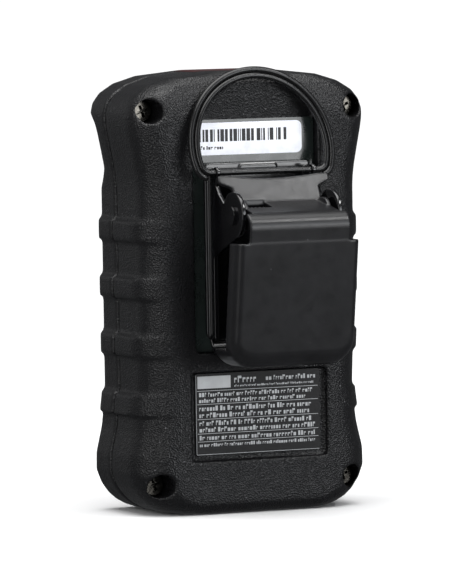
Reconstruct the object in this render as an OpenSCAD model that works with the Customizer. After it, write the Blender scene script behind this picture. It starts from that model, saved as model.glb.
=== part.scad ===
// Portable single-gas detector with a spring clip and a hanging ring.
// Millimetres, +Z up, front towards -Y, clip towards +Y.
// The origin is the centre of the flat bottom face.

/* [Body] */
// Height of the body
body_h = 86.4; // [85.4:0.2:88]
// Widest width of the body, at its shoulders
body_w = 50.8; // [49:0.2:54]
// Depth of the body from its front to its back
body_d = 25.4; // [25.4:0.2:28]
// Wall thickness of both shells
wall = 1.6; // [1.2:0.1:1.8]
// How far each side draws in at the waist
waist = 2.4; // [0:0.1:2.6]
// Height of the raised grip straps above the sides
strap_rise = 1.1; // [0.4:0.1:1.2]

/* [Seam] */
// Where the two shells meet, measured from the middle of the depth
seam_y = -3.5; // [-5:0.5:-3]
// Thickness of the gasket between the shells
gasket_t = 0.5; // [0.4:0.1:0.8]

/* [Screws] */
// Sideways place of the upper case screws
screw_top_x = 21.7; // [21.2:0.1:21.8]
// Sideways place of the lower case screws
screw_low_x = 20.4; // [20:0.1:20.6]
// Height of the upper case screws
screw_top_z = 79; // [78.4:0.1:79.2]
// Height of the lower case screws
screw_low_z = 6; // [5.9:0.1:7]
// Radius of the deep screw wells in the back
well_r = 2.3; // [2.1:0.1:2.4]

/* [Clip] */
// Sheet thickness of the lever and of the base plate
sheet = 0.9; // [0.8:0.1:1]
// How far the pivot pin stands behind the middle of the body
pivot_y = 24.6; // [24.4:0.1:24.8]
// Height of the pivot pin
pivot_z = 59; // [58.9:0.1:59.1]
// Radius of the pivot pin
pivot_r = 0.8; // [0.75:0.05:0.85]
// Half the width of the lever's cover
cover_x = 13.2; // [12.9:0.1:13.4]

/* [Ring] */
// Wire radius of the ring
wire_r = 0.62; // [0.58:0.02:0.64]
// Half the width of the ring, over its wire
ring_x = 15.65; // [15.5:0.05:16]
// How far the ring reaches from the middle of its bar
ring_reach = 20.9; // [20.6:0.1:21.3]
// How far the ring leans back against the body, in degrees
ring_lean = 14; // [12:0.5:14]

/* [Hidden] */
$fn = 48;

half_d = body_d / 2;
half_w = body_w / 2;
fit = 0.1;

screw_places = [
    [screw_top_x, screw_top_z], [-screw_top_x, screw_top_z],
    [screw_low_x, screw_low_z], [-screw_low_x, screw_low_z]
];
head_seat_y = 5.4;
head_h = 1.5;
screw_head_r = 1.95;
screw_r = 1.05;
insert_r = 1.9;
insert_l = 4.5;
boss_r = 3.3;

rear_seam = seam_y + gasket_t / 2;
front_seam = seam_y - gasket_t / 2;

// Openings in the back
bay_x = 13.4;
bay_low = 31.6;
bay_shelf = 77.4;
bay_arch = 84.4;
bay_arch_r = 17;
bay_floor_y = 10.2;
bay_rise = 0.7;
bay_plate_t = 0.8;
name_x = 14.5;
name_low = 10.6;
name_high = 27.9;
name_depth = 1.4;
name_t = 0.4;
name_ledge = 1.1;
name_top_gap = 0.25;
name_corner = 0.6;
label_left = 12.5;
label_right = -10.6;
label_low = 70.2;
label_high = 76.5;
label_t = 0.15;

// Grip straps
strap_places = [21.6, 33.1, 44.4, 55.6];
strap_h = 4.1;
strap_from = 14.5;

// Openings in the front
window_x = 15;
window_low = 50;
window_high = 68;
button_z = 39;
button_r = 4.2;
button_travel = 0.8;
inlet_z = 20;
inlet_r = 8.4;
horn_x = 13;
horn_r = 5.2;
front_recess = 0.5;
lens_x = 8.5;
lens_low_y = -7;
lens_high_y = 3;
lens_floor_z = 84.2;
panel_x = 18.6;
panel_low = 9;
panel_high = 73;
panel_corner = 4;
panel_t = 0.4;
horn_slot = [3.4, 0.45];
horn_pitch = 1.8;
sight_r = 2;

board_y = -6.6;
board_t = 1.2;

// Clip
plate_back_y = 12.4;
plate_front_y = plate_back_y + sheet;
plate_x = 11.3;
plate_top_z = 68.7;
plate_rib = [4, 0.5, 1.9];
plate_low_z = 31.6;
ear_face_x = 10.7;
ear_x = ear_face_x - sheet / 2;
ear_r = 4.6;
flange_y = 15.6;
jaw_y = 18.4;
jaw_bend = 4;
clip_screw_z = [40, 51];
stud_r = 3;
pin_head_r = 1.9;
pin_head_t = 0.6;
lever_ear_x = 9.2;
lever_ear_r = 3;
wing_x = 11.9;
tab_top = [19.9, 66.3];
tab_foot = [22.6, 60.95];
wing_span = [0.2, 0.5];
tab_sag = 0.5;
tab_sag_x = 8;
shoulder_z = 53.9;
neck_x = 10.6;
roll_r = 2.4;
roll_mid_z = 56.9;
cover_low_z = 29.6;
cover_top_y = 32.4;
cover_low_y = 29;
side_bend = 1.6;
low_bend = 3;
face_bend = 2.4;
cover_corner = 5;
cover_lean = (cover_top_y - cover_low_y) / (shoulder_z - cover_low_z);
side_flange = 4;
low_flange = 9;
spring_wire_r = 0.3;
spring_coil_r = pivot_r + 0.1 + spring_wire_r;
spring_x = 5.5;
spring_slot = [2.4, 1.85, 4];

// Ring: its bar, and where its oval is widest, measured up from the bar
ring_bar_y = 16.6;
ring_bar_z = 67;
ring_bar_x = 11.6;
ring_wide = 4.8;
ring_foot = 1.4;
ring_knee_x = 13;
ring_down = 15;
strand_gap = 2 * wire_r - 0.08;

function ease(t) = t * t * (3 - 2 * t);
function clamp01(t) = min(1, max(0, t));
function step(a, b, z) = ease(clamp01((z - a) / (b - a)));
function arc_in(r, t) = r - sqrt(max(0, r * r - pow(r - t, 2)));

// Heights of the body's sections, closer together where the outline bends.
stations = [
    0, 0.35, 1, 2, 3.4, 5.4, 8, 11.5, 16.5, 23, 31, 39, 47, 55, 60.5, 63.5, 65.5, 67.5,
    71, 74.5, 76.5, 78.3, 80.3, 82.2, 84, 85.4, 86.4
] * body_h / 86.4;

// Half width of the body at a height: round shoulders, a waist and round lower corners.
foot_r = 10.5;
shoulder_low = 76;
shoulder_power = 2.8;
function waist_at(z) = waist * step(80, 63, z) * step(8, 22, z);
function shoulder_at(z) =
    let (t = max(0, z - shoulder_low) / (body_h - shoulder_low + 0.12))
    pow(1 - pow(t, shoulder_power), 1 / shoulder_power);
function foot_at(z) = z < foot_r ? arc_in(foot_r, z) : 0;
function wide(z) = half_w * shoulder_at(z) - waist_at(z) - foot_at(z);

// Depth at a height: rounded edges at both ends, and a long round fall at the top of the back.
low_edge = 3;
top_edge = 4;
back_fall_z = 10.4;
back_fall_y = 5;
function low_in(z) = z < low_edge ? arc_in(low_edge, z) : 0;
function top_in(z) = z > body_h - top_edge ? arc_in(top_edge, body_h - z) : 0;
function fall_at(z) =
    let (t = clamp01((z - body_h + back_fall_z) / back_fall_z))
    back_fall_y * (1 - sqrt(1 - t * t));
function back_at(z) = half_d - fall_at(z) - low_in(z);
function front_at(z) = -half_d + low_in(z) + top_in(z);

// Corner radii at a height: wide behind and tight in front, but for a scoop below the shoulders.
function back_corner(z) = max(3, 8 - 2 * step(24, 40, z) - 0.6 * (low_in(z) + fall_at(z)));
function front_corner(z) =
    max(2.2, 2.8 + 3.2 * step(63.5, 67.5, z) * step(79, 75.5, z) - 0.2 * (low_in(z) + top_in(z)));

// One rounded-rectangle section, drawn anticlockwise seen from above.
corner_steps = [9, 9, 5, 5];
function section(w, y0, y1, radii, h) = [
    for (c = [0:3], i = [0:corner_steps[c]])
        let (
            r = radii[c],
            a = c * 90 + i * 90 / corner_steps[c],
            cx = (c == 0 || c == 3 ? 1 : -1) * (w - r),
            cy = c < 2 ? y1 - r : y0 + r
        )
        [cx + r * cos(a), cy + r * sin(a), h]
];
// The section at a height, grown by separate amounts sideways and in depth.
function skin(z, side, deep) =
    let (
        behind = max(0.8, back_corner(z) + side),
        before = max(0.8, front_corner(z) + side)
    )
    section(wide(z) + side, front_at(z) - deep, back_at(z) + deep,
            [behind, behind, before, before], z + deep * (2 * z / body_h - 1));

// A closed skin through a stack of rings that all have the same number of points.
module loft(rings) {
    n = len(rings[0]);
    count = len(rings);
    sides = [
        for (i = [0:count - 2], j = [0:n - 1])
            let (a = i * n + j, b = i * n + (j + 1) % n)
            each [[a, a + n, b + n], [a, b + n, b]]
    ];
    low = [for (j = [0:n - 1]) j];
    high = [for (j = [0:n - 1]) count * n - 1 - j];
    polyhedron([for (ring = rings) each ring], concat([low], sides, [high]), convexity = 8);
}

// The body's outline grown outwards, or inwards when grow is negative.
module body_loft(grow) {
    loft([for (z = stations) skin(z, grow, grow)]);
}

// A rod of radius r along +Y from y0 to y1.
module rod_y(r, y0, y1) {
    translate([0, y0, 0])
        rotate([-90, 0, 0])
            cylinder(r = r, h = y1 - y0);
}

// A rod of radius r along X from x0 to x1.
module rod_x(r, x0, x1) {
    translate([x0, 0, 0])
        rotate([0, 90, 0])
            cylinder(r = r, h = x1 - x0);
}

// A box from a low corner to a high corner.
module block(low, high) {
    translate(low)
        cube(high - low);
}

// A plate in the XZ plane from y0 to y1 with round corners.
module plate_y(x0, x1, z0, z1, y0, y1, r) {
    translate([0, y1, 0])
        rotate([90, 0, 0])
            linear_extrude(y1 - y0)
                round_rect(x0, x1, z0, z1, r);
}

module round_rect(x0, x1, z0, z1, r) {
    translate([x0 + r, z0])
        square([x1 - x0 - 2 * r, z1 - z0]);
    translate([x0, z0 + r])
        square([x1 - x0, z1 - z0 - 2 * r]);
    for (x = [x0 + r, x1 - r], z = [z0 + r, z1 - r])
        translate([x, z])
            circle(r);
}

// A tube of round section along a list of points, closed at both ends.
module swept(points, r, sides = 10) {
    count = len(points);
    function way(i) =
        let (d = points[min(i + 1, count - 1)] - points[max(i - 1, 0)])
        d / norm(d);
    function across(i) =
        let (c = cross(way(i), [0.31, 1, 0.17]))
        c / norm(c);
    loft([
        for (i = [0:count - 1])
            let (u = across(i), v = cross(way(i), u))
            [for (j = [0:sides - 1]) points[i] + r * (cos(j * 360 / sides) * u + sin(j * 360 / sides) * v)]
    ]);
}

// Four raised straps wrap each side and die away into the back and the front.
module grip_straps() {
    intersection() {
        loft([for (z = stations) skin(z, strap_rise, 0.04)]);
        for (z = strap_places, side = [-1, 1])
            translate([side * (strap_from + 10), 0, z])
                cube([20, 30, strap_h], center = true);
    }
}

module hollow_body() {
    difference() {
        union() {
            body_loft(0);
            grip_straps();
        }
        body_loft(-wall);
    }
}

// The bay in the back holds the clip and the labels; above its shelf it slopes out under an arch.
module bay_cut() {
    plate_y(-bay_x, bay_x, bay_low, bay_shelf, bay_floor_y, half_d + 2, 1.2);
    intersection() {
        translate([0, 0, bay_arch - bay_arch_r])
            rod_y(bay_arch_r, bay_floor_y - 1, half_d + 3);
        yz_sheet(-bay_x, bay_x)
            polygon([
                [bay_floor_y, bay_shelf - 1], [bay_floor_y, bay_shelf],
                [bay_floor_y + bay_rise, bay_arch + 0.1], [half_d + 3, bay_arch + 0.1],
                [half_d + 3, bay_shelf - 1]
            ]);
    }
}

module rear_shell() {
    color([0.07, 0.07, 0.075])
        difference() {
            union() {
                difference() {
                    intersection() {
                        hollow_body();
                        block([-40, rear_seam, -5], [40, 30, 95]);
                    }
                    bay_cut();
                }
                intersection() {
                    body_loft(-0.6);
                    union() {
                        for (p = screw_places)
                            translate([p[0], 0, p[1]])
                                rod_y(boss_r, rear_seam, half_d - 2);
                        difference() {
                            plate_y(-bay_x - wall, bay_x + wall, bay_low - wall, bay_arch + 0.6,
                                    bay_floor_y - wall, half_d - 1, 1.5);
                            bay_cut();
                        }
                        plate_y(-name_x - 1, name_x + 1, name_low - 1, name_high + 1,
                                half_d - name_depth - 1.4, half_d - 0.4, 1);
                    }
                }
                for (z = clip_screw_z)
                    translate([0, 0, z])
                        rod_y(stud_r, bay_floor_y - 0.5, plate_back_y);
                for (z = clip_screw_z)
                    translate([0, 0, z])
                        rod_y(stud_r, bay_floor_y - 3, bay_floor_y);
            }
            for (p = screw_places)
                translate([p[0], 0, p[1]]) {
                    rod_y(screw_r + 0.2, rear_seam - 1, head_seat_y + 0.1);
                    rod_y(well_r, head_seat_y, half_d + 3);
                }
            plate_y(-name_x - fit, name_x + fit, name_low - fit, name_high + fit,
                    half_d - name_depth, half_d + 1, 0.8);
            for (z = clip_screw_z)
                translate([0, 0, z])
                    rod_y(1.6, bay_floor_y - 4, plate_back_y + 1);
            lens_seat(fit);
        }
}

// The seat of the alarm lens in the middle of the top.
module lens_seat(gap) {
    block([-lens_x - gap, lens_low_y - gap, lens_floor_z - gap],
          [lens_x + gap, lens_high_y + gap, body_h + 1]);
}

// The holes through the front: window, button, gas inlet, horn slots and infrared sight.
module front_openings(deep_y) {
    plate_y(-window_x, window_x, window_low, window_high, -half_d - 1, deep_y, 1);
    translate([0, 0, button_z])
        rod_y(button_r + fit, -half_d - 1, deep_y);
    translate([0, 0, inlet_z])
        rod_y(inlet_r, -half_d - 1, deep_y);
    for (i = [-2:2])
        translate([horn_x, 0, button_z + i * horn_pitch])
            plate_y(-horn_slot[0], horn_slot[0], -horn_slot[1], horn_slot[1], -half_d - 1, deep_y, 0.4);
    translate([-horn_x, 0, button_z])
        rod_y(sight_r, -half_d - 1, deep_y);
}

module front_shell() {
    color([0.08, 0.08, 0.085])
        difference() {
            union() {
                intersection() {
                    hollow_body();
                    block([-40, -30, -5], [40, front_seam, 95]);
                }
                intersection() {
                    body_loft(-0.6);
                    union() {
                        for (p = screw_places)
                            translate([p[0], 0, p[1]])
                                rod_y(boss_r, -half_d + 1, front_seam);
                        translate([0, 0, inlet_z])
                            rod_y(inlet_r + 1.4, -half_d + 1, -half_d + 3);
                    }
                }
            }
            for (p = screw_places)
                translate([p[0], 0, p[1]])
                    rod_y(insert_r, front_seam - insert_l, front_seam + 1);
            plate_y(-panel_x, panel_x, panel_low, panel_high,
                    -half_d - 1, -half_d + front_recess, panel_corner);
            front_openings(-half_d + 4);
            lens_seat(fit);
        }
}

// A flat gasket fills the seam, pierced by the four screws.
module shell_gasket() {
    color([0.12, 0.12, 0.12])
        difference() {
            intersection() {
                block([-40, front_seam, -5], [40, rear_seam, 95]);
                body_loft(-0.6);
                union() {
                    difference() {
                        block([-40, -6, -5], [40, 0, 95]);
                        body_loft(-wall);
                    }
                    for (p = screw_places)
                        translate([p[0], 0, p[1]])
                            rod_y(boss_r, -6, 0);
                }
            }
            for (p = screw_places)
                translate([p[0], 0, p[1]])
                    rod_y(screw_r + 0.2, -6, 0);
            lens_seat(fit);
        }
}

// A thin printed panel lies in the front recess.
module front_overlay() {
    color([0.32, 0.34, 0.36])
        difference() {
            plate_y(-panel_x + 0.2, panel_x - 0.2, panel_low + 0.2, panel_high - 0.2,
                    -half_d + front_recess - panel_t, -half_d + front_recess, panel_corner - 0.1);
            front_openings(0);
        }
}

module display_window() {
    color([0.6, 0.65, 0.66, 0.4])
        plate_y(-window_x + fit, window_x - fit, window_low + fit, window_high - fit,
                -half_d + 0.15, -half_d + wall, 0.9);
}

// The holder frames the glass and stands on the board.
module lcd_holder() {
    color([0.16, 0.16, 0.17])
        difference() {
            plate_y(-17, 17, window_low - 1.6, window_high + 1.6, -half_d + wall + 0.05, board_y, 1);
            plate_y(-14.6, 14.6, window_low + 0.6, window_high - 0.6, -half_d, 0, 0.5);
        }
}

module lcd_module() {
    color([0.62, 0.66, 0.58])
        block([-14.4, -half_d + wall + 0.1, window_low + 0.8], [14.4, -9.2, window_high - 0.8]);
}

module zebra_strips() {
    color([0.55, 0.35, 0.5])
        for (z = [window_low + 1.6, window_high - 3.6])
            block([-13, -9.2, z], [13, board_y, z + 2]);
}

// The circuit board, cut back round the screw bosses, with a few parts on its back.
module main_board() {
    color([0.05, 0.3, 0.16])
        difference() {
            union() {
                plate_y(-20, 20, 5, 80, board_y, board_y + board_t, 2);
                block([-9, board_y + board_t, 24], [-1, board_y + board_t + 1.2, 32]);
                block([3, board_y + board_t, 25], [8, board_y + board_t + 1, 30]);
                for (x = [-14:4:14])
                    block([x, board_y + board_t, 72], [x + 1.6, board_y + board_t + 0.7, 73]);
            }
            for (p = screw_places)
                translate([p[0], 0, p[1]])
                    rod_y(boss_r + 0.4, -20, 20);
            for (x = [-16, 16])
                translate([x, 0, 46])
                    rod_y(0.9, -20, 20);
        }
}

// The button's flange stays behind the front wall.
module test_button() {
    color([0.75, 0.76, 0.78])
        translate([0, 0, button_z]) {
            rod_y(button_r, -half_d - 0.9, -half_d + wall + 0.2);
            rod_y(button_r + 0.9, -half_d + wall + 0.2, -half_d + wall + 0.9);
            rod_y(1.5, -half_d + wall + 0.9, board_y - 0.65 - button_travel);
        }
}

module dome_switch() {
    color([0.72, 0.72, 0.7])
        translate([0, 0, button_z])
            rod_y(3, board_y - 0.5, board_y);
}

module buzzer() {
    color([0.2, 0.2, 0.2])
        translate([horn_x, 0, button_z])
            difference() {
                rod_y(horn_r, -10.2, board_y);
                rod_y(1, -11, -9.4);
            }
}

module buzzer_gasket() {
    color([0.25, 0.25, 0.26])
        translate([horn_x, 0, button_z])
            difference() {
                rod_y(horn_r, -half_d + wall, -10.2);
                rod_y(horn_r - 1.1, -12, -10);
            }
}

module infrared_window() {
    color([0.25, 0.04, 0.05])
        translate([-horn_x, 0, button_z]) {
            rod_y(sight_r - 0.05, -half_d + 0.2, -half_d + wall);
            rod_y(2.6, -half_d + wall, -half_d + wall + 0.8);
        }
}

// The inlet: an outer grille, a dust filter, a seal and the sensor behind them.
module sensor_grille() {
    color([0.13, 0.13, 0.14])
        translate([0, 0, inlet_z])
            difference() {
                union() {
                    rod_y(inlet_r - fit, -half_d + 0.2, -half_d + 1.2);
                    difference() {
                        rod_y(inlet_r - fit, -half_d + 0.2, -half_d + 2.2);
                        rod_y(inlet_r - 1.3, -half_d, -half_d + 3);
                    }
                }
                for (k = [0:5])
                    rotate([0, k * 60, 0])
                        translate([4.6, 0, 0])
                            rod_y(1.1, -20, 0);
                rod_y(1.5, -20, 0);
            }
}

module sensor_filter() {
    color([0.92, 0.92, 0.9])
        translate([0, 0, inlet_z])
            rod_y(inlet_r - 1.4, -half_d + 1.25, -half_d + 1.65);
}

module sensor_gasket() {
    color([0.3, 0.3, 0.32])
        translate([0, 0, inlet_z])
            difference() {
                rod_y(inlet_r - 0.3, -half_d + 2.25, -half_d + 3);
                rod_y(inlet_r - 2.4, -half_d, 0);
            }
}

module sensor_cell() {
    color([0.86, 0.86, 0.84])
        translate([0, 0, inlet_z])
            difference() {
                rod_y(inlet_r - 0.3, -half_d + 3, board_y - 0.9);
                rod_y(1.2, -half_d, -half_d + 3.8);
            }
}

module sensor_socket() {
    color([0.1, 0.1, 0.1])
        translate([0, 0, inlet_z])
            difference() {
                rod_y(inlet_r - 0.6, board_y - 0.9, board_y);
                for (k = [0:2])
                    rotate([0, k * 120, 0])
                        translate([4.2, 0, 0])
                            rod_y(0.7, -20, 0);
            }
}

// A short lithium cell lies across the body behind the board.
module battery_cell() {
    color([0.18, 0.3, 0.55])
        translate([0, 1.8, 20]) {
            rod_x(7, -12.4, 12.2);
            rod_x(2.6, 12.2, 13.2);
        }
}

module battery_contacts() {
    color([0.8, 0.78, 0.7])
        for (side = [-1, 1])
            translate([side * 13.6, 0, 0]) {
                block([-0.25, board_y + board_t, 16], [0.25, 5.4, 24]);
                if (side < 0)
                    block([0.2, 0, 18.6], [1.2, 2.8, 21.4]);
            }
}

module vibration_motor() {
    color([0.7, 0.71, 0.73])
        translate([0, 0, 62]) {
            rod_x(3, -6, 5);
            rod_x(0.6, 5, 10.4);
        }
}

// An off-centre weight turns on the motor's shaft.
module motor_weight() {
    color([0.6, 0.6, 0.62])
        translate([0, 0, 62])
            difference() {
                rod_x(2.8, 6, 9.6);
                rod_x(0.64, 5, 11);
                block([5, 1, -4], [11, 4, 4]);
            }
}

module motor_bracket() {
    color([0.66, 0.66, 0.62])
        difference() {
            block([-5, board_y + board_t, 58], [4, 1.6, 66]);
            translate([0, 0, 62])
                rod_x(3.02, -10, 10);
            block([-6, -2, 61.4], [6, 3, 62.6]);
        }
}

module alarm_lens() {
    color([0.45, 0.06, 0.05, 0.8])
        difference() {
            intersection() {
                body_loft(0);
                lens_seat(0);
            }
            block([-lens_x + 1, lens_low_y + 1, 80], [lens_x - 1, lens_high_y - 1, lens_floor_z + 0.6]);
        }
}

module alarm_leds() {
    color([0.9, 0.85, 0.8])
        for (x = [-8, 0, 8])
            block([x - 1.2, board_y, 80.02], [x + 1.2, board_y + 2.2, 81.8]);
}

module screw_inserts() {
    color([0.75, 0.6, 0.3])
        for (p = screw_places)
            translate([p[0], 0, p[1]])
                difference() {
                    rod_y(insert_r, front_seam - insert_l, front_seam);
                    rod_y(screw_r + 0.05, -30, 0);
                }
}

// A pan head with a crossed recess, its shank along -Y.
module cross_screw(seat, head_r, head, shank_r, tip) {
    difference() {
        union() {
            rod_y(head_r, seat, seat + head);
            rod_y(shank_r, tip, seat);
        }
        for (a = [0, 90])
            rotate([0, a + 20, 0])
                block([-head_r * 0.62, seat + head - 0.8, -0.28], [head_r * 0.62, seat + head + 1, 0.28]);
    }
}

module case_screws() {
    color([0.75, 0.75, 0.76])
        for (p = screw_places)
            translate([p[0], 0, p[1]])
                cross_screw(head_seat_y, screw_head_r, head_h, screw_r, front_seam - insert_l + 0.5);
}

// The glossy plate on the floor of the bay.
module label_plate() {
    color([0.1, 0.12, 0.12])
        difference() {
            plate_y(-bay_x + 0.2, bay_x - 0.2, bay_low + 0.2, bay_shelf - 0.3,
                    bay_floor_y, bay_floor_y + bay_plate_t, 1);
            for (z = clip_screw_z)
                translate([0, 0, z])
                    rod_y(stud_r + fit, 0, 20);
        }
}

module barcode_label() {
    color([0.93, 0.93, 0.95])
        plate_y(label_right, label_left, label_low, label_high,
                bay_floor_y + bay_plate_t, bay_floor_y + bay_plate_t + label_t, 1.2);
}

module nameplate() {
    color([0.13, 0.13, 0.14])
        plate_y(-name_x + name_ledge, name_x - name_ledge, name_low + name_ledge, name_high - name_top_gap,
                half_d - name_depth, half_d - name_depth + name_t, name_corner);
}

// An ear seen from the side: round at the pin, with an eye for the ring and a low flange under it.
module ear_outline() {
    polygon([
        [plate_back_y, plate_low_z + 3], [flange_y, plate_low_z + 3], [flange_y, 50.6],
        [pivot_y + 2.4, pivot_z - 3.9], [pivot_y, pivot_z], [20.6, 61], [18, 62.9], [16.9, 64.4],
        [ring_bar_y + 1, ring_bar_z - 0.5], [ring_bar_y + 0.3, ring_bar_z + 1.05],
        [plate_front_y, ring_bar_z + 0.6], [plate_back_y, ring_bar_z + 0.6]
    ]);
    translate([pivot_y, pivot_z])
        circle(ear_r);
    translate([ring_bar_y, ring_bar_z])
        circle(wire_r + 0.5);
}

module yz_sheet(x0, x1) {
    translate([x0, 0, 0])
        rotate([90, 0, 90])
            linear_extrude(x1 - x0)
                children();
}

// The jaw under the plate: a quarter turn of sheet and a flat lip.
module jaw_outline() {
    intersection() {
        translate([plate_back_y + jaw_bend, plate_low_z + jaw_bend])
            difference() {
                circle(jaw_bend);
                circle(jaw_bend - sheet);
            }
        translate([plate_back_y, plate_low_z])
            square([jaw_bend, jaw_bend + 0.2]);
    }
    translate([plate_back_y + jaw_bend - 0.1, plate_low_z])
        square([jaw_y - plate_back_y - jaw_bend + 0.1, sheet]);
}

// The fixed plate: two ears, a hooked lower jaw and two screw holes.
module clip_base() {
    color([0.05, 0.05, 0.055])
        difference() {
            union() {
                plate_y(-plate_x, plate_x, plate_low_z + 3, plate_top_z,
                        plate_back_y, plate_front_y, 0.8);
                for (side = [-1, 1])
                    yz_sheet(side * ear_x - sheet / 2, side * ear_x + sheet / 2)
                        ear_outline();
                yz_sheet(-ear_face_x, ear_face_x)
                    jaw_outline();
                plate_y(-plate_rib[0], plate_rib[0], plate_top_z - plate_rib[2], plate_top_z - plate_rib[1],
                        plate_front_y - 0.1, plate_front_y + 0.3, 0.4);
            }
            translate([0, pivot_y, pivot_z])
                rod_x(pivot_r, -20, 20);
            translate([0, ring_bar_y, ring_bar_z])
                rod_x(wire_r + 0.06, -20, 20);
            for (z = clip_screw_z)
                translate([0, 0, z])
                    rod_y(1.2, 0, 20);
        }
}

module clip_screws() {
    color([0.3, 0.3, 0.31])
        for (z = clip_screw_z)
            translate([0, 0, z])
                cross_screw(plate_front_y, 2.2, 1, 1, bay_floor_y - 2);
}

module clip_inserts() {
    color([0.75, 0.6, 0.3])
        for (z = clip_screw_z)
            translate([0, 0, z])
                difference() {
                    rod_y(1.6, bay_floor_y - 3, plate_back_y);
                    rod_y(1.02, 0, 20);
                }
}

function unit(v) = v / norm(v);
function left(v) = [-v[1], v[0]];

// The offset of a bent strip's face at one of its points, with mitred bends.
function mitre(points, i) =
    let (
        last = len(points) - 1,
        ahead = unit(points[min(i + 1, last)] - points[min(i, last - 1)]),
        behind = unit(points[max(i, 1)] - points[max(i - 1, 0)])
    )
    left(ahead + behind) / (1 + ahead * behind);

// A bent strip of sheet seen from its edge, centred on a line of points.
module bent_strip(points, thick) {
    last = len(points) - 1;
    polygon(concat(
        [for (i = [0:last]) points[i] + mitre(points, i) * thick / 2],
        [for (i = [last:-1:0]) points[i] - mitre(points, i) * thick / 2]
    ));
}

function cover_y(z) = cover_low_y + cover_lean * (z - cover_low_z);

// One outline of the cover's tray at a depth y, drawn in by its own amounts at the sides and below.
function tray_ring(y, side_in, low_in) =
    let (w = cover_x - cover_corner, z0 = cover_low_z + cover_corner, z1 = shoulder_z + 2)
    [
        for (c = [0:3], i = [0:6])
            let (
                a = c * 90 + i * 15,
                x = (c < 2 ? w : -w) + (cover_corner - side_in) * sin(a),
                z = (c == 0 || c == 3 ? z1 : z0) + (cover_corner - low_in) * cos(a)
            )
            [x, y + cover_lean * (z - cover_low_z), z]
    ];

// The cover's tray, open towards the body, its front edges bent round.
module tray(inset) {
    loft(concat(
        [tray_ring(6, inset, inset)],
        [
            for (a = [0:15:90])
                tray_ring(
                    cover_low_y - face_bend + (face_bend - inset) * sin(a),
                    inset + (side_bend - inset) * (1 - cos(a)),
                    inset + (low_bend - inset) * (1 - cos(a))
                )
        ]
    ));
}

// What is kept of the tray, seen from the side: shallow side flanges and a deep bottom flange.
module flange_outline() {
    side_step = cover_low_z + 3.4;
    low_y = cover_low_y - low_flange;
    polygon([
        [low_y, cover_low_z - 5], [40, cover_low_z - 5], [40, shoulder_z],
        [cover_y(shoulder_z) - side_flange, shoulder_z], [cover_y(side_step) - side_flange, side_step],
        [low_y, side_step]
    ]);
}

// A point down the tab, and the half width there: wings at the top, drawn in round to the neck.
function tab_at(t) = tab_top + t * (tab_foot - tab_top);
function tab_w(t) = wing_x - (wing_x - lever_ear_x) * step(wing_span[0], wing_span[1], t);

// The lever: a tab to press, a rolled bridge, two ears on the pin and the long bowed cover.
module clip_lever() {
    side_mid = lever_ear_x - sheet / 2;
    lean_angle = atan(cover_lean);
    roll_mid_y = cover_y(roll_mid_z) - sheet / 2 - roll_r;
    roll = [
        for (i = [0:6])
            let (a = 78 - (78 + lean_angle) * i / 6)
            [roll_mid_y + roll_r * cos(a), roll_mid_z + roll_r * sin(a)]
    ];
    neck_foot = [cover_y(shoulder_z - 1.5) - sheet / 2, shoulder_z - 1.5];
    sag_r = (tab_sag_x * tab_sag_x + tab_sag * tab_sag) / (2 * tab_sag);
    color([0.06, 0.06, 0.065])
        difference() {
            union() {
                yz_sheet(-lever_ear_x, lever_ear_x)
                    bent_strip([tab_top, tab_foot, roll[0]], sheet);
                for (t = [wing_span[0] + 0.03:0.04:wing_span[1] - 0.03])
                    yz_sheet(-tab_w(t), tab_w(t))
                        bent_strip([tab_top, tab_at(t)], sheet);
                yz_sheet(-neck_x, neck_x)
                    bent_strip(concat(roll, [neck_foot]), sheet - 0.1);
                difference() {
                    intersection() {
                        tray(0);
                        yz_sheet(-20, 20)
                            flange_outline();
                    }
                    tray(sheet);
                }
                for (side = [-1, 1])
                    yz_sheet(side * side_mid - sheet / 2, side * side_mid + sheet / 2)
                        union() {
                            polygon([tab_foot, roll[0], [29.4, 56.4], [25, 56.2]]);
                            translate([pivot_y, pivot_z])
                                circle(lever_ear_r);
                        }
            }
            translate([0, pivot_y, pivot_z])
                rod_x(pivot_r + 0.05, -20, 20);
            translate([0, 0, tab_top[1] - tab_sag + sag_r])
                rod_y(sag_r, tab_top[0] - 2, tab_top[0] + 2);
            block([spring_x - spring_slot[0], pivot_y - spring_slot[1], pivot_z + pivot_r],
                  [spring_x + spring_slot[0], pivot_y + spring_slot[1], pivot_z + spring_slot[2]]);
        }
}

// A thin pad lines the jaw's lip, so that the clip grips a belt.
module jaw_pad() {
    color([0.1, 0.1, 0.1])
        plate_y(-8, 8, cover_low_z + sheet, cover_low_z + sheet + 0.65,
                cover_low_y - low_flange + 0.1, cover_low_y - 4, 0.3);
}

module pivot_pin() {
    color([0.1, 0.1, 0.105])
        translate([0, pivot_y, pivot_z]) {
            rod_x(pivot_r, -ear_face_x, ear_face_x);
            rod_x(pin_head_r, ear_face_x, ear_face_x + pin_head_t);
            rod_x(pin_head_r, -ear_face_x - pin_head_t, -ear_face_x);
        }
}

// Coils round the pin, one leg on the base plate and one under the lever.
module torsion_spring() {
    turns = 4;
    pitch = 2 * spring_wire_r + 0.25;
    steps = 16;
    low_angle = -150;
    coil = [
        for (i = [0:turns * steps])
            let (a = low_angle - i * 360 / steps)
            [spring_x - turns * pitch / 2 + i * pitch / steps,
             pivot_y + spring_coil_r * cos(a), pivot_z + spring_coil_r * sin(a)]
    ];
    base_leg = [spring_x - turns * pitch / 2, plate_front_y + spring_wire_r + 0.1, pivot_z - 3.5];
    lever_leg = [spring_x + turns * pitch / 2, pivot_y - 4.5, pivot_z + 3.9];
    color([0.5, 0.5, 0.52])
        swept(concat([base_leg], coil, [lever_leg]), spring_wire_r, 8);
}

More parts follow.
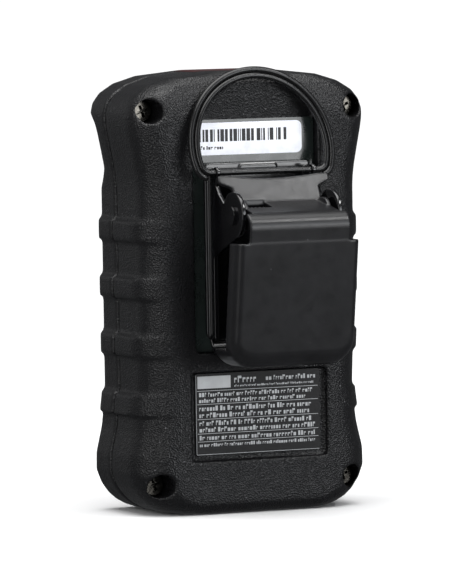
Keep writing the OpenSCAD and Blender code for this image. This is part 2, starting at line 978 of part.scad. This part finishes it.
// A point of the ring's leaning plane: x across, and s up from the bar.
function ring_place(x, s) =
    [x, ring_bar_y - s * sin(ring_lean), ring_bar_z + s * cos(ring_lean)];
// A point of the inner strand's oval at an angle, sideways and up from the bar.
ring_inset = wire_r + strand_gap;
function oval(a) =
    let (reach = (sin(a) > 0 ? ring_reach - ring_wide : ring_down) - ring_inset)
    [(ring_x - ring_inset) * cos(a), ring_wide + reach * sin(a)];

// The ring: an inner strand bent in to a straight bar, and an outer strand beside it.
module suspension_ring() {
    low = -asin((ring_wide - ring_foot) / (ring_down - ring_inset));
    foot = oval(low);
    bend = [
        for (t = [0.2:0.16:0.84])
            [pow(1 - t, 2) * ring_bar_x + 2 * t * (1 - t) * ring_knee_x + t * t * foot[0], t * t * foot[1]]
    ];
    back_bend = [for (i = [len(bend) - 1:-1:0]) [-bend[i][0], bend[i][1]]];
    arc = [for (i = [0:36]) oval(low + i * (180 - 2 * low) / 36)];
    path = concat(bend, arc, back_bend);
    last = len(path) - 1;
    outer = [for (i = [1:last - 1]) path[i] - strand_gap * unit(left(path[i + 1] - path[i - 1]))];
    bar_end = [ring_bar_x - 0.4, 0];
    inner = concat([bar_end], path, [-bar_end]);
    color([0.07, 0.07, 0.075]) {
        translate([0, ring_bar_y, ring_bar_z])
            rod_x(wire_r, -ring_bar_x, ring_bar_x);
        swept([for (p = inner) ring_place(p[0], p[1])], wire_r, 10);
        swept([for (p = outer) ring_place(p[0], p[1])], wire_r, 10);
    }
}

rear_shell();
front_shell();
shell_gasket();
front_overlay();
display_window();
lcd_module();
lcd_holder();
zebra_strips();
main_board();
test_button();
dome_switch();
buzzer();
buzzer_gasket();
infrared_window();
sensor_cell();
sensor_socket();
sensor_gasket();
sensor_filter();
sensor_grille();
battery_cell();
battery_contacts();
vibration_motor();
motor_weight();
motor_bracket();
alarm_lens();
alarm_leds();
screw_inserts();
case_screws();
label_plate();
barcode_label();
nameplate();
clip_base();
clip_screws();
clip_inserts();
clip_lever();
jaw_pad();
pivot_pin();
torsion_spring();
suspension_ring();
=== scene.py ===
"""The looks of a portable gas detector with a spring clip and a hanging ring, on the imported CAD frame."""

import math
import random

import bmesh
import bpy
from mathutils import Matrix, Vector


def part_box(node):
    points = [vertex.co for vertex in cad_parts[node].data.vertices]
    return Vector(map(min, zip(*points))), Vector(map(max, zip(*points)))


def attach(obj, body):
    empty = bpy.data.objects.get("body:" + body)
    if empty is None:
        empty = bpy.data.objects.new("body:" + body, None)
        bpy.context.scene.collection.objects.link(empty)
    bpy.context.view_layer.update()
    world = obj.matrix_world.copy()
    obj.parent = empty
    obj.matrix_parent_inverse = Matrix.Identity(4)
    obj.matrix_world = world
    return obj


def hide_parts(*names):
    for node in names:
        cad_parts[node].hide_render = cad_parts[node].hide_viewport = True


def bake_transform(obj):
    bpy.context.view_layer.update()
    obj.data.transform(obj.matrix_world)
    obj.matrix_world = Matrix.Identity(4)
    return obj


MM = 0.001
WELD = 0.001 * MM        # vertices closer than this are one
SUNK = 0.005 * MM        # how deep printed marks sit in their face

# The shells' seam: where it is, how far to either side its lips are rounded off, and how strongly
SEAM_Y = -3.5 * MM
LIP = 1.1 * MM
LIP_WEIGHT = 0.8
LIP_PASSES = 12

# The blend on the shells' sides: stronger by the same share at each step outwards
SIDE_STEPS = 4
SIDE_STEP_MM = 0.5
SIDE_PASSES = 5

# Camera: where it stands round the object, and how it frames it
AZIMUTH = math.radians(155.4)
ELEVATION = math.radians(3.65)
ROLL = math.radians(-0.92)
DISTANCE = 1.2164
LENS = 491.4
SENSOR = 36.0
AIM = Vector((0, 0, 0.043))
SHIFT_X = -0.0114
SHIFT_Y = -0.0048


# ---------------------------------------------------------------- meshes

def add_object(name, mesh):
    """Link a mesh to the scene as a smooth-shaded object."""
    obj = bpy.data.objects.new(name, mesh)
    bpy.context.scene.collection.objects.link(obj)
    for face in mesh.polygons:
        face.use_smooth = True
    return obj


def baked(obj):
    """Apply the modifiers of an object to its mesh."""
    graph = bpy.context.evaluated_depsgraph_get()
    mesh = bpy.data.meshes.new_from_object(obj.evaluated_get(graph))
    old = obj.data
    obj.modifiers.clear()
    obj.data = mesh
    bpy.data.meshes.remove(old)


def add_weld(obj):
    """Join the vertices that lie in one place."""
    obj.modifiers.new("weld", "WELD").merge_threshold = WELD


def add_smooth(obj, name, passes):
    """Smooth a mesh, half way at each pass."""
    smooth = obj.modifiers.new(name, "SMOOTH")
    smooth.factor = 0.5
    smooth.iterations = passes
    return smooth


def smooth_part(obj, name, passes, parts):
    """Smooth some of a mesh; each part is a weight and a test of a vertex's place."""
    group = obj.vertex_groups.new(name=name)
    for weight, test in parts:
        group.add([v.index for v in obj.data.vertices if test(v.co)], weight, "REPLACE")
    add_smooth(obj, name, passes).vertex_group = name


def beyond(edge):
    """A test for places further out than that |x|."""
    return lambda place: abs(place.x) > edge


def on_lips(edge):
    """A test for places by the seam that are further out than that |x|."""
    return lambda place: abs(place.x) > edge and abs(place.y - SEAM_Y) < LIP


def eased_copy(node, name, voxel, passes, keep, sides=None):
    """A new piece from a CAD node: remeshed finely, its edges smoothed round, then thinned.

    With sides, what lies further out than that |x| in mm is smoothed again to blend the facets away,
    and the lips of the seam are rounded off."""
    obj = add_object(name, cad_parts[node].data.copy())
    obj.data.materials.clear()
    add_weld(obj)
    remesh = obj.modifiers.new("remesh", "REMESH")
    remesh.mode = "VOXEL"
    remesh.voxel_size = voxel * MM
    add_smooth(obj, "smooth", passes)
    baked(obj)
    if sides:
        steps = range(1, SIDE_STEPS + 1)
        edges = [(sides + step * SIDE_STEP_MM) * MM for step in steps]
        parts = [(step / SIDE_STEPS, beyond(edge)) for step, edge in zip(steps, edges)]
        smooth_part(obj, "sides", SIDE_PASSES, parts)
        smooth_part(obj, "lips", LIP_PASSES, [(LIP_WEIGHT, on_lips(edges[-1]))])
    obj.modifiers.new("thin", "DECIMATE").ratio = keep
    baked(obj)
    for face in obj.data.polygons:
        face.use_smooth = True
    return obj


def mesh_from(bm, name):
    """Turn a bmesh into a linked object."""
    bmesh.ops.recalc_face_normals(bm, faces=bm.faces)
    mesh = bpy.data.meshes.new(name)
    bm.to_mesh(mesh)
    bm.free()
    return add_object(name, mesh)


def tube(bm, points, radius, sides, closed=False):
    """Sweep a round wire along points, with domed ends where it is open."""
    count = len(points)
    rings = []
    side = Vector((0, 1, 0))
    for i, point in enumerate(points):
        ahead = points[(i + 1) % count] if closed or i < count - 1 else point
        behind = points[i - 1] if closed or i > 0 else point
        way = (ahead - behind).normalized()
        across = way.cross(side).normalized()
        up = across.cross(way)
        turns = [2 * math.pi * k / sides for k in range(sides)]
        rings.append([
            bm.verts.new(point + radius * (math.cos(a) * across + math.sin(a) * up)) for a in turns
        ])
    spans = count if closed else count - 1
    for i in range(spans):
        low, high = rings[i], rings[(i + 1) % count]
        for k in range(sides):
            bm.faces.new((low[k], low[(k + 1) % sides], high[(k + 1) % sides], high[k]))
    if closed:
        return
    for ring, outward in ((rings[0], points[0] - points[1]), (rings[-1], points[-1] - points[-2])):
        cap_dome(bm, ring, outward.normalized(), radius)


def cap_dome(bm, ring, outward, radius):
    """Close a wire's end with a dome."""
    centre = sum((v.co for v in ring), Vector()) / len(ring)
    last = ring
    for angle in (30, 60):
        rise = radius * math.sin(math.radians(angle))
        shrink = math.cos(math.radians(angle))
        fresh = [bm.verts.new(centre + (v.co - centre) * shrink + outward * rise) for v in ring]
        for k in range(len(ring)):
            n = (k + 1) % len(ring)
            bm.faces.new((last[k], last[n], fresh[n], fresh[k]))
        last = fresh
    tip = bm.verts.new(centre + outward * radius)
    for k in range(len(ring)):
        bm.faces.new((last[k], last[(k + 1) % len(ring)], tip))


def marks(name, areas, face_y, rise):
    """Thin printed marks on a face that looks along +Y; each area is (x0, x1, z0, z1) in mm."""
    bm = bmesh.new()
    for x0, x1, z0, z1 in areas:
        corners = ((x0, z0), (x1, z0), (x1, z1), (x0, z1))
        low = [bm.verts.new((x * MM, face_y, z * MM)) for x, z in corners]
        high = [bm.verts.new(v.co + Vector((0, rise, 0))) for v in low]
        bm.faces.new(high)
        bm.faces.new(low[::-1])
        for k in range(4):
            n = (k + 1) % 4
            bm.faces.new((low[k], low[n], high[n], high[k]))
    obj = mesh_from(bm, name)
    for face in obj.data.polygons:
        face.use_smooth = False
    return obj


# ---------------------------------------------------------------- materials

# The part of its 0 to 1 range that noise mostly stays in
NOISE_LOW = 0.3
NOISE_HIGH = 0.7

ACRYLIC_IOR = 1.49


class Paint:
    """A principled material with short helpers for its procedural detail."""

    def __init__(self, name, colour, rough, **sockets):
        self.material = bpy.data.materials.new(name)
        self.material.use_nodes = True
        self.tree = self.material.node_tree
        self.shader = self.tree.nodes["Principled BSDF"]
        self.colour = colour
        self.rough = rough
        self.shader.inputs["Base Color"].default_value = (*colour, 1)
        self.shader.inputs["Roughness"].default_value = rough
        for key, value in sockets.items():
            self.shader.inputs[key.replace("_", " ")].default_value = value
        self.place = self.add("ShaderNodeTexCoord").outputs["Object"]
        self.height = None

    def add(self, kind, **settings):
        """A new node with its settings made."""
        node = self.tree.nodes.new(kind)
        for key, value in settings.items():
            setattr(node, key, value)
        return node

    def link(self, output, socket):
        """Join an output to an input socket."""
        self.tree.links.new(output, socket)

    def noise(self, size_mm, detail=3.0, roughness=0.55):
        """Noise whose features are about size_mm across."""
        node = self.add("ShaderNodeTexNoise")
        node.inputs["Scale"].default_value = 1 / (size_mm * MM)
        node.inputs["Detail"].default_value = detail
        node.inputs["Roughness"].default_value = roughness
        self.link(self.place, node.inputs["Vector"])
        return node.outputs["Fac"]

    def cells(self, size_mm, output="Distance"):
        """Voronoi cells about size_mm across."""
        node = self.add("ShaderNodeTexVoronoi")
        node.inputs["Scale"].default_value = 1 / (size_mm * MM)
        self.link(self.place, node.inputs["Vector"])
        return node.outputs[output]

    def spread(self, source, low, high, out_low, out_high):
        """Map a value's range to another, clamped."""
        node = self.add("ShaderNodeMapRange")
        node.inputs["From Min"].default_value = low
        node.inputs["From Max"].default_value = high
        node.inputs["To Min"].default_value = out_low
        node.inputs["To Max"].default_value = out_high
        self.link(source, node.inputs["Value"])
        return node.outputs["Result"]

    def tint(self, source, other, low=NOISE_LOW, high=NOISE_HIGH):
        """Blend the base colour towards another colour where the source is high."""
        mix = self.add("ShaderNodeMix", data_type="RGBA")
        inputs = [s for s in mix.inputs if s.type == "RGBA"]
        socket = self.shader.inputs["Base Color"]
        if socket.links:
            self.link(socket.links[0].from_socket, inputs[0])
        else:
            inputs[0].default_value = (*self.colour, 1)
        inputs[1].default_value = (*other, 1)
        self.link(self.spread(source, low, high, 0, 1), mix.inputs["Factor"])
        result = [s for s in mix.outputs if s.type == "RGBA"][0]
        self.link(result, socket)

    def polish(self, source, change):
        """Vary the roughness by plus or minus change with the source."""
        varied = self.spread(source, NOISE_LOW, NOISE_HIGH, self.rough - change, self.rough + change)
        self.link(varied, self.shader.inputs["Roughness"])

    def bump(self, source, depth_mm):
        """Add surface relief of about depth_mm."""
        node = self.add("ShaderNodeBump")
        node.inputs["Distance"].default_value = depth_mm * MM
        node.inputs["Strength"].default_value = 1
        self.link(source, node.inputs["Height"])
        if self.height is not None:
            self.link(self.height, node.inputs["Normal"])
        self.height = node.outputs["Normal"]
        self.link(self.height, self.shader.inputs["Normal"])

    def flecks(self, size_mm, share, colour):
        """Sparse dust specks: a few random cells, lit only near their middle."""
        near = self.spread(self.cells(size_mm), 0.05, 0.13, 1, 0)
        split = self.add("ShaderNodeSeparateColor")
        self.link(self.cells(size_mm, "Color"), split.inputs["Color"])
        chosen = self.spread(split.outputs["Red"], 1 - share, 1 - share + 0.001, 0, 1)
        both = self.add("ShaderNodeMath", operation="MULTIPLY")
        self.link(near, both.inputs[0])
        self.link(chosen, both.inputs[1])
        self.tint(both.outputs["Value"], colour, 0, 1)


def pebbled(name, colour, rough, grain_mm, depth_mm):
    """Rubber-clad plastic with a fine pebble, faint mottling, a little dust, and a painted highlight on the
    pebble's rims that leaves its pits in painted shade.
    """
    paint = Paint(name, colour, rough, Specular_IOR_Level=0.42)
    paint.tint(paint.noise(9, 4), tuple(c * 1.5 for c in colour))
    # Painted highlight and shade: lighter where the pebble's relief is high, on its rims, and dark in its
    # pits; the same cells make the relief below
    paint.tint(paint.cells(grain_mm), tuple(c * 2.2 for c in colour), 0.1, 0.75)
    paint.flecks(1.1, 0.05, (0.16, 0.16, 0.17))
    paint.polish(paint.noise(0.9, 3), 0.07)
    paint.bump(paint.noise(grain_mm * 3, 2, 0.5), depth_mm * 0.3)
    paint.bump(paint.cells(grain_mm), depth_mm)
    return paint.material


def coated_steel(name, colour, rough, peel_mm, specular=0.5, coat=0.0):
    """Black coat over sheet steel, with faint orange peel, scuffs and dust."""
    paint = Paint(name, colour, rough, Specular_IOR_Level=specular, Coat_Weight=coat, Coat_Roughness=0.1)
    paint.tint(paint.noise(6, 3), tuple(c * 1.8 for c in colour))
    paint.flecks(1.5, 0.03, (0.05, 0.05, 0.055))
    paint.polish(paint.noise(2.2, 5, 0.65), 0.04)
    paint.bump(paint.noise(peel_mm, 2), 0.0012)
    return paint.material


def metal(name, colour, rough, grain_mm=0.25):
    """Plated or drawn metal with fine grain."""
    paint = Paint(name, colour, rough, Metallic=1.0)
    paint.tint(paint.noise(grain_mm * 3, 3), tuple(c * 0.7 for c in colour))
    paint.polish(paint.noise(grain_mm, 4), 0.08)
    paint.bump(paint.noise(grain_mm, 3), 0.004)
    return paint.material


def plastic(name, colour, rough, grain_mm=0.3, depth_mm=0.006, **sockets):
    """Moulded plastic with a fine spark-eroded texture."""
    paint = Paint(name, colour, rough, **sockets)
    paint.tint(paint.noise(3, 3), tuple(min(1, c * 1.25) for c in colour))
    paint.polish(paint.noise(grain_mm * 2, 3), min(0.05, rough / 2))
    paint.bump(paint.noise(grain_mm, 3), depth_mm)
    return paint.material


def make_materials():
    """Every finish, by a short name."""
    black = (0.0022, 0.0022, 0.0026)
    return {
        "housing": pebbled("housing_rubber", black, 0.33, 0.32, 0.11),
        "front": pebbled("front_rubber", (0.003, 0.003, 0.0034), 0.42, 0.32, 0.09),
        "seal": plastic("seal_rubber", (0.001, 0.001, 0.001), 0.8, Specular_IOR_Level=0.05),
        "lever": coated_steel("lever_coat", (0.0035, 0.0035, 0.0042), 0.34, 2.0, 0.5),
        "plate": coated_steel("plate_coat", (0.002, 0.002, 0.0024), 0.17, 2.2, 0.5, 0.3),
        "ring": coated_steel("ring_coat", (0.003, 0.003, 0.0032), 0.26, 0.8, 0.45),
        "bay": plastic("bay_plate_gloss", (0.012, 0.016, 0.015), 0.19, 1.5, 0.002, Coat_Weight=0.1),
        "label": plastic("label_paper", (0.74, 0.76, 0.83), 0.42, 0.15, 0.003),
        "ink": plastic("label_ink", (0.012, 0.012, 0.014), 0.5, 0.15, 0.002),
        "name": plastic("nameplate_film", (0.003, 0.003, 0.0035), 0.42, 0.2, 0.004,
                        Specular_IOR_Level=0.25),
        "print": plastic("nameplate_print", (0.3, 0.31, 0.32), 0.5, 0.15, 0.003),
        "screw": metal("screw_nickel", (0.09, 0.085, 0.075), 0.18, 0.5),
        "steel": metal("plated_steel", (0.55, 0.55, 0.54), 0.34),
        "spring": metal("spring_wire", (0.25, 0.25, 0.26), 0.3),
        "brass": metal("knurled_brass", (0.62, 0.42, 0.16), 0.32),
        "tungsten": metal("sintered_weight", (0.32, 0.32, 0.34), 0.45),
        "lens": plastic("alarm_lens_red", (0.06, 0.007, 0.007), 0.45, 1.0, 0.003,
                        Transmission_Weight=0.35, IOR=ACRYLIC_IOR),
        "led": plastic("led_clear", (0.8, 0.78, 0.7), 0.15),
        "infrared": plastic("infrared_red", (0.03, 0.003, 0.004), 0.1, 1.0, 0.002),
        "overlay": plastic("panel_film", (0.07, 0.074, 0.08), 0.42, 0.22, 0.008),
        "window": plastic("window_clear", (0.9, 0.93, 0.93), 0.03, 2.0, 0.001,
                          Transmission_Weight=0.92, IOR=ACRYLIC_IOR),
        "lcd": plastic("lcd_glass", (0.2, 0.24, 0.17), 0.18, 0.5, 0.001),
        "frame": plastic("moulded_black", (0.012, 0.012, 0.013), 0.48),
        "button": plastic("button_grey", (0.3, 0.31, 0.33), 0.4, 0.25, 0.01),
        "board": plastic("solder_mask", (0.008, 0.07, 0.03), 0.25),
        "pale": plastic("pale_moulding", (0.62, 0.62, 0.6), 0.45),
        "zebra": plastic("zebra_rubber", (0.2, 0.1, 0.16), 0.55),
        "cell": plastic("cell_sleeve", (0.015, 0.05, 0.2), 0.3),
    }


# The CAD nodes that stay, under the finish each of them wears
CAD_FINISH = {
    "seal": ["shell_gasket", "sensor_gasket", "buzzer_gasket", "jaw_pad"],
    "screw": ["case_screws"],
    "steel": ["dome_switch", "battery_contacts", "motor_bracket", "vibration_motor"],
    "brass": ["screw_inserts", "clip_inserts"],
    "tungsten": ["motor_weight"],
    "bay": ["label_plate"],
    "label": ["barcode_label"],
    "name": ["nameplate"],
    "plate": ["pivot_pin", "clip_screws"],
    "lens": ["alarm_lens"],
    "led": ["alarm_leds"],
    "infrared": ["infrared_window"],
    "overlay": ["front_overlay"],
    "window": ["display_window"],
    "lcd": ["lcd_module"],
    "frame": ["lcd_holder", "sensor_socket", "sensor_grille", "buzzer"],
    "button": ["test_button"],
    "board": ["main_board"],
    "pale": ["sensor_cell", "sensor_filter"],
    "zebra": ["zebra_strips"],
    "cell": ["battery_cell"],
}

# How wide a bevel each visible edge gets, in mm
EDGE_BREAK = {
    "case_screws": 0.12,
    "pivot_pin": 0.3,
    "clip_screws": 0.15,
    "label_plate": 0.12,
    "nameplate": 0.12,
    "front_overlay": 0.08,
    "display_window": 0.15,
    "test_button": 0.35,
    "sensor_grille": 0.15,
    "infrared_window": 0.15,
}


def paint_cad_nodes(finish):
    """Give every CAD node that stays its finish, and break its visible edges."""
    for key, names in CAD_FINISH.items():
        for name in names:
            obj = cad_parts[name]
            obj.data.materials.clear()
            obj.data.materials.append(finish[key])
    for name, width in EDGE_BREAK.items():
        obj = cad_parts[name]
        add_weld(obj)
        bevel = obj.modifiers.new("edges", "BEVEL")
        bevel.width = width * MM
        bevel.segments = 3
        bevel.limit_method = "ANGLE"
        bevel.angle_limit = math.radians(40)
        bevel.harden_normals = True


# ---------------------------------------------------------------- pieces

def dress(obj, finish, body, slot, *nodes):
    """Give a new piece its finish and its body, and hide the CAD nodes it stands for; slot is not used."""
    obj.data.materials.clear()
    obj.data.materials.append(finish)
    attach(obj, body)
    if nodes:
        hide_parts(*nodes)


def make_case(finish):
    """Both shells with their moulded edges eased."""
    rear = eased_copy("rear_shell", "rear_case", voxel=0.35, passes=4, keep=0.55, sides=15.4)
    dress(rear, finish["housing"], "housing", "housing", "rear_shell")
    front = eased_copy("front_shell", "front_case", voxel=0.35, passes=4, keep=0.55, sides=19.4)
    dress(front, finish["front"], "housing", "front_housing", "front_shell")


def make_clip(finish):
    """The pressed-steel plate and lever, and the spring between them."""
    plate = eased_copy("clip_base", "clip_plate", voxel=0.15, passes=5, keep=0.6)
    dress(plate, finish["plate"], "housing", "clip_steel", "clip_base")
    lever = eased_copy("clip_lever", "clip_cover", voxel=0.15, passes=12, keep=0.7)
    dress(lever, finish["lever"], "lever", "clip_steel", "clip_lever")
    spring = add_object("clip_spring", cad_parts["torsion_spring"].data.copy())
    spring.data.materials.clear()
    spring.data.materials.append(finish["spring"])
    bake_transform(spring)
    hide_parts("torsion_spring")


def make_ring(finish):
    """Two strands of wire side by side, leaning on the body; the inner one closes in a straight bar.

    Points are x across, and s up the ring's own plane from its bar."""
    low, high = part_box("suspension_ring")
    bar = Vector((0, 16.6, 67)) * MM
    lean = math.radians(14)
    wire = 0.62 * MM                 # radius
    gap = 2 * wire - 0.03 * MM       # from one strand's middle to the other's: they bite a little
    bar_x = 11.4 * MM                # half the bar's length
    knee = 13 * MM                   # the corner that each bend rounds off
    foot = 1.4 * MM                  # how high the bends end and the oval starts
    widest = 4.8 * MM                # how high the oval is widest
    reach = 20.9 * MM                # how high the whole ring goes
    depth = 15 * MM                  # how far below its widest the whole oval would go, without the bar
    wide = (high.x - low.x) / 2 - wire - gap
    above = reach - widest - wire - gap
    below = depth - wire - gap
    bar_steps = 8
    bend_steps = 12
    oval_steps = 110
    spare = 3                        # points at each end of the path that have no outer strand
    round_sides = 20

    def place(x, s):
        return bar + Vector((x, -s * math.sin(lean), s * math.cos(lean)))

    start = -math.asin((widest - foot) / below)
    oval = []
    for i in range(oval_steps + 1):
        angle = start + (math.pi - 2 * start) * i / oval_steps
        rise = (above if math.sin(angle) > 0 else below) * math.sin(angle)
        oval.append((wide * math.cos(angle), widest + rise))
    bend = []
    for i in range(bend_steps):
        t = i / bend_steps
        x = (1 - t) ** 2 * bar_x + 2 * t * (1 - t) * knee + t * t * oval[0][0]
        bend.append((x, t * t * foot))
    path = bend + oval + [(-x, s) for x, s in reversed(bend)]
    outer = []
    for (x0, s0), (x, s), (x1, s1) in list(zip(path, path[1:], path[2:]))[spare:-spare]:
        run = math.hypot(x1 - x0, s1 - s0)
        outer.append((x + gap * (s1 - s0) / run, s - gap * (x1 - x0) / run))
    straight = [(bar_x * (2 * i / bar_steps - 1), 0) for i in range(1, bar_steps)]
    bm = bmesh.new()
    tube(bm, [place(x, s) for x, s in straight + path], wire, round_sides, closed=True)
    tube(bm, [place(x, s) for x, s in outer], wire, round_sides)
    ring = mesh_from(bm, "hanging_ring")
    dress(ring, finish["ring"], "ring", "ring_steel", "suspension_ring")


def bar_areas(left, right, low, high, seed):
    """Upright bars of random width between two sides: a pattern that encodes nothing."""
    draw = random.Random(seed)
    unit = 0.2
    areas = []
    x = left
    while x < right:
        width = unit * draw.choice((1, 1, 2, 3, 4))
        areas.append((x, min(x + width, right), low, high))
        x += width + unit * draw.choice((1, 1, 2, 3))
    return areas


def word_row(left, right, low, high, draw):
    """A row of small blocks in clumps, where words would be; they spell nothing.

    Seen from behind, a row reads from +X to -X."""
    areas = []
    tall = high - low
    letter_gap = tall * 0.2
    word_gap = tall * 0.35
    x = right
    while x > left + tall:
        for _ in range(draw.randint(2, 8)):
            width = tall * draw.uniform(0.3, 0.62)
            if x - width < left:
                return areas
            rise = tall * draw.choice((0.72, 0.72, 1))
            if draw.random() < 0.5:
                areas.append((x - width, x, low, low + rise))
            else:
                stem = width * 0.3
                areas.append((x - stem, x, low, low + rise))
                areas.append((x - width, x - stem, low + rise * 0.62, low + rise))
            x -= width + letter_gap
        x -= word_gap
    return areas


def face_of(low, high):
    """From a plate's box: its left, right, base and top in mm, and the y where marks on its face start."""
    return low.x / MM, high.x / MM, low.z / MM, high.z / MM, high.y - SUNK


def make_label_marks(finish):
    """Bars that encode nothing on the label, and a row of blocks under them."""
    left, right, base, top, face_y = face_of(*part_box("barcode_label"))
    margin = 0.9
    bars = bar_areas(left + 3.3, right - margin, base + 2.6, top - 1.3, seed=11)
    bars += word_row(right - 6.2, right - margin, base + 1.1, base + 1.8, random.Random(3))
    obj = marks("label_bars", bars, face_y, 0.025 * MM)
    dress(obj, finish["ink"], "housing", "label")


def make_nameplate_marks(finish):
    """Generic marks on the nameplate: a filled block, three headings, and ruled lines of blocks."""
    left, right, base, top, face_y = face_of(*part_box("nameplate"))
    draw = random.Random(5)
    areas = [(right - 7.6, right - 0.5, top - 2.9, top - 0.5)]
    headings = (
        (right - 14.6, right - 8.4, top - 2.0, top - 0.7),
        (left + 0.7, right - 15.2, top - 1.8, top - 0.9),
        (left + 1.2, right - 8.4, top - 2.8, top - 2.4),
    )
    for heading in headings:
        areas += word_row(*heading, draw)

    rule_side = 0.4
    rule_tall = 0.09
    rule_gap = 0.3
    line_gap = 0.36
    z = top - 3.4
    for height, lines in ((0.8, 2), (0.95, 2), (0.9, 2), (0.9, 1), (0.65, 1)):
        areas.append((left + rule_side, right - rule_side, z, z + rule_tall))
        z -= rule_gap
        for _ in range(lines):
            areas += word_row(left + 0.7 + draw.uniform(0, 1.5), right - 0.8, z - height, z, draw)
            z -= height + line_gap

    outer = 0.12                     # a border rule's two sides, measured in from the plate's edge
    inner = 0.2
    areas.append((right - inner, right - outer, base + inner, top - 0.3))
    areas.append((left + inner, right - inner, base + outer, base + inner))
    obj = marks("nameplate_marks", areas, face_y, 0.02 * MM)
    dress(obj, finish["print"], "housing", "nameplate")


# ---------------------------------------------------------------- stage

def area_light(name, way, far, size, power, colour=(1, 1, 1)):
    """A soft rectangular light that faces the object from a direction."""
    data = bpy.data.lights.new(name, "AREA")
    data.shape = "RECTANGLE"
    data.size, data.size_y = size
    data.energy = power
    data.color = colour
    obj = bpy.data.objects.new(name, data)
    bpy.context.scene.collection.objects.link(obj)
    way = Vector(way).normalized()
    obj.location = AIM + way * far
    obj.rotation_euler = way.to_track_quat("Z", "Y").to_euler()
    obj.visible_camera = False


def make_stage():
    """A wide pale floor, a dim world, an overhead sun and soft lights on the clip's side."""
    bm = bmesh.new()
    bmesh.ops.create_grid(bm, x_segments=8, y_segments=8, size=40)
    floor = mesh_from(bm, "floor")
    paint = Paint("floor_pale", (0.9, 0.9, 0.9), 0.8, Specular_IOR_Level=0.1)
    paint.tint(paint.noise(400, 2), (0.92, 0.92, 0.92))
    floor.data.materials.append(paint.material)
    floor.location.z = -0.02 * MM
    floor.visible_glossy = False

    world = bpy.data.worlds.new("studio")
    world.use_nodes = True
    background = world.node_tree.nodes["Background"]
    background.inputs["Color"].default_value = (0.95, 0.97, 1, 1)
    background.inputs["Strength"].default_value = 0.12
    bpy.context.scene.world = world

    sun = bpy.data.objects.new("overhead", bpy.data.lights.new("overhead", "SUN"))
    sun.data.energy = 3.6
    sun.data.angle = math.radians(60)
    sun.rotation_euler = (math.radians(-6), math.radians(4), 0)
    bpy.context.scene.collection.objects.link(sun)

    # Each: its name, its direction from the object, its distance and size in metres, and its watts
    area_light("tab_softbox", (-0.475, 0.59, 0.69), 0.7, (0.2, 0.1), 1.15)
    area_light("left_softbox", (0.85, 0.46, 0.3), 0.8, (0.3, 0.7), 2.2)
    area_light("right_softbox", (-0.43, 0.9, 0.03), 0.8, (0.3, 0.2), 0.6)
    area_light("backdrop_left", (0.5, -0.86, 0.3), 0.9, (0.7, 0.5), 0.3)
    area_light("front_fill", (-0.4, 0.9, 0.16), 1.1, (0.7, 0.5), 3.4, (0.93, 0.96, 1))


def make_camera():
    """The view from behind, slightly above, with the ring side up."""
    data = bpy.data.cameras.new("camera")
    data.sensor_fit = "HORIZONTAL"
    data.sensor_width = SENSOR
    data.lens = LENS
    data.shift_x = SHIFT_X
    data.shift_y = SHIFT_Y
    data.clip_end = 100
    camera = bpy.data.objects.new("camera", data)
    bpy.context.scene.collection.objects.link(camera)
    flat = math.cos(ELEVATION)
    way = Vector((math.sin(AZIMUTH) * flat, -math.cos(AZIMUTH) * flat, math.sin(ELEVATION)))
    camera.location = AIM + way * DISTANCE
    turn = way.to_track_quat("Z", "Y").to_matrix().to_4x4()
    camera.rotation_euler = (turn @ Matrix.Rotation(ROLL, 4, "Z")).to_euler()
    bpy.context.scene.camera = camera
    bpy.context.scene.view_settings.view_transform = "Standard"


# ---------------------------------------------------------------- build

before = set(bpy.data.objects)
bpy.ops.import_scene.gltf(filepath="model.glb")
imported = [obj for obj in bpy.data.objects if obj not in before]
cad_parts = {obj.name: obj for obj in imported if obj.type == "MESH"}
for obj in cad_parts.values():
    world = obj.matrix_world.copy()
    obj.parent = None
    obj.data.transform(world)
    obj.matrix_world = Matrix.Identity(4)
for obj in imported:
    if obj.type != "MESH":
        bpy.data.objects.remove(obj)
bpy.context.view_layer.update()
make_camera()
make_stage()
finishes = make_materials()
paint_cad_nodes(finishes)
make_case(finishes)
make_clip(finishes)
make_ring(finishes)
make_label_marks(finishes)
make_nameplate_marks(finishes)
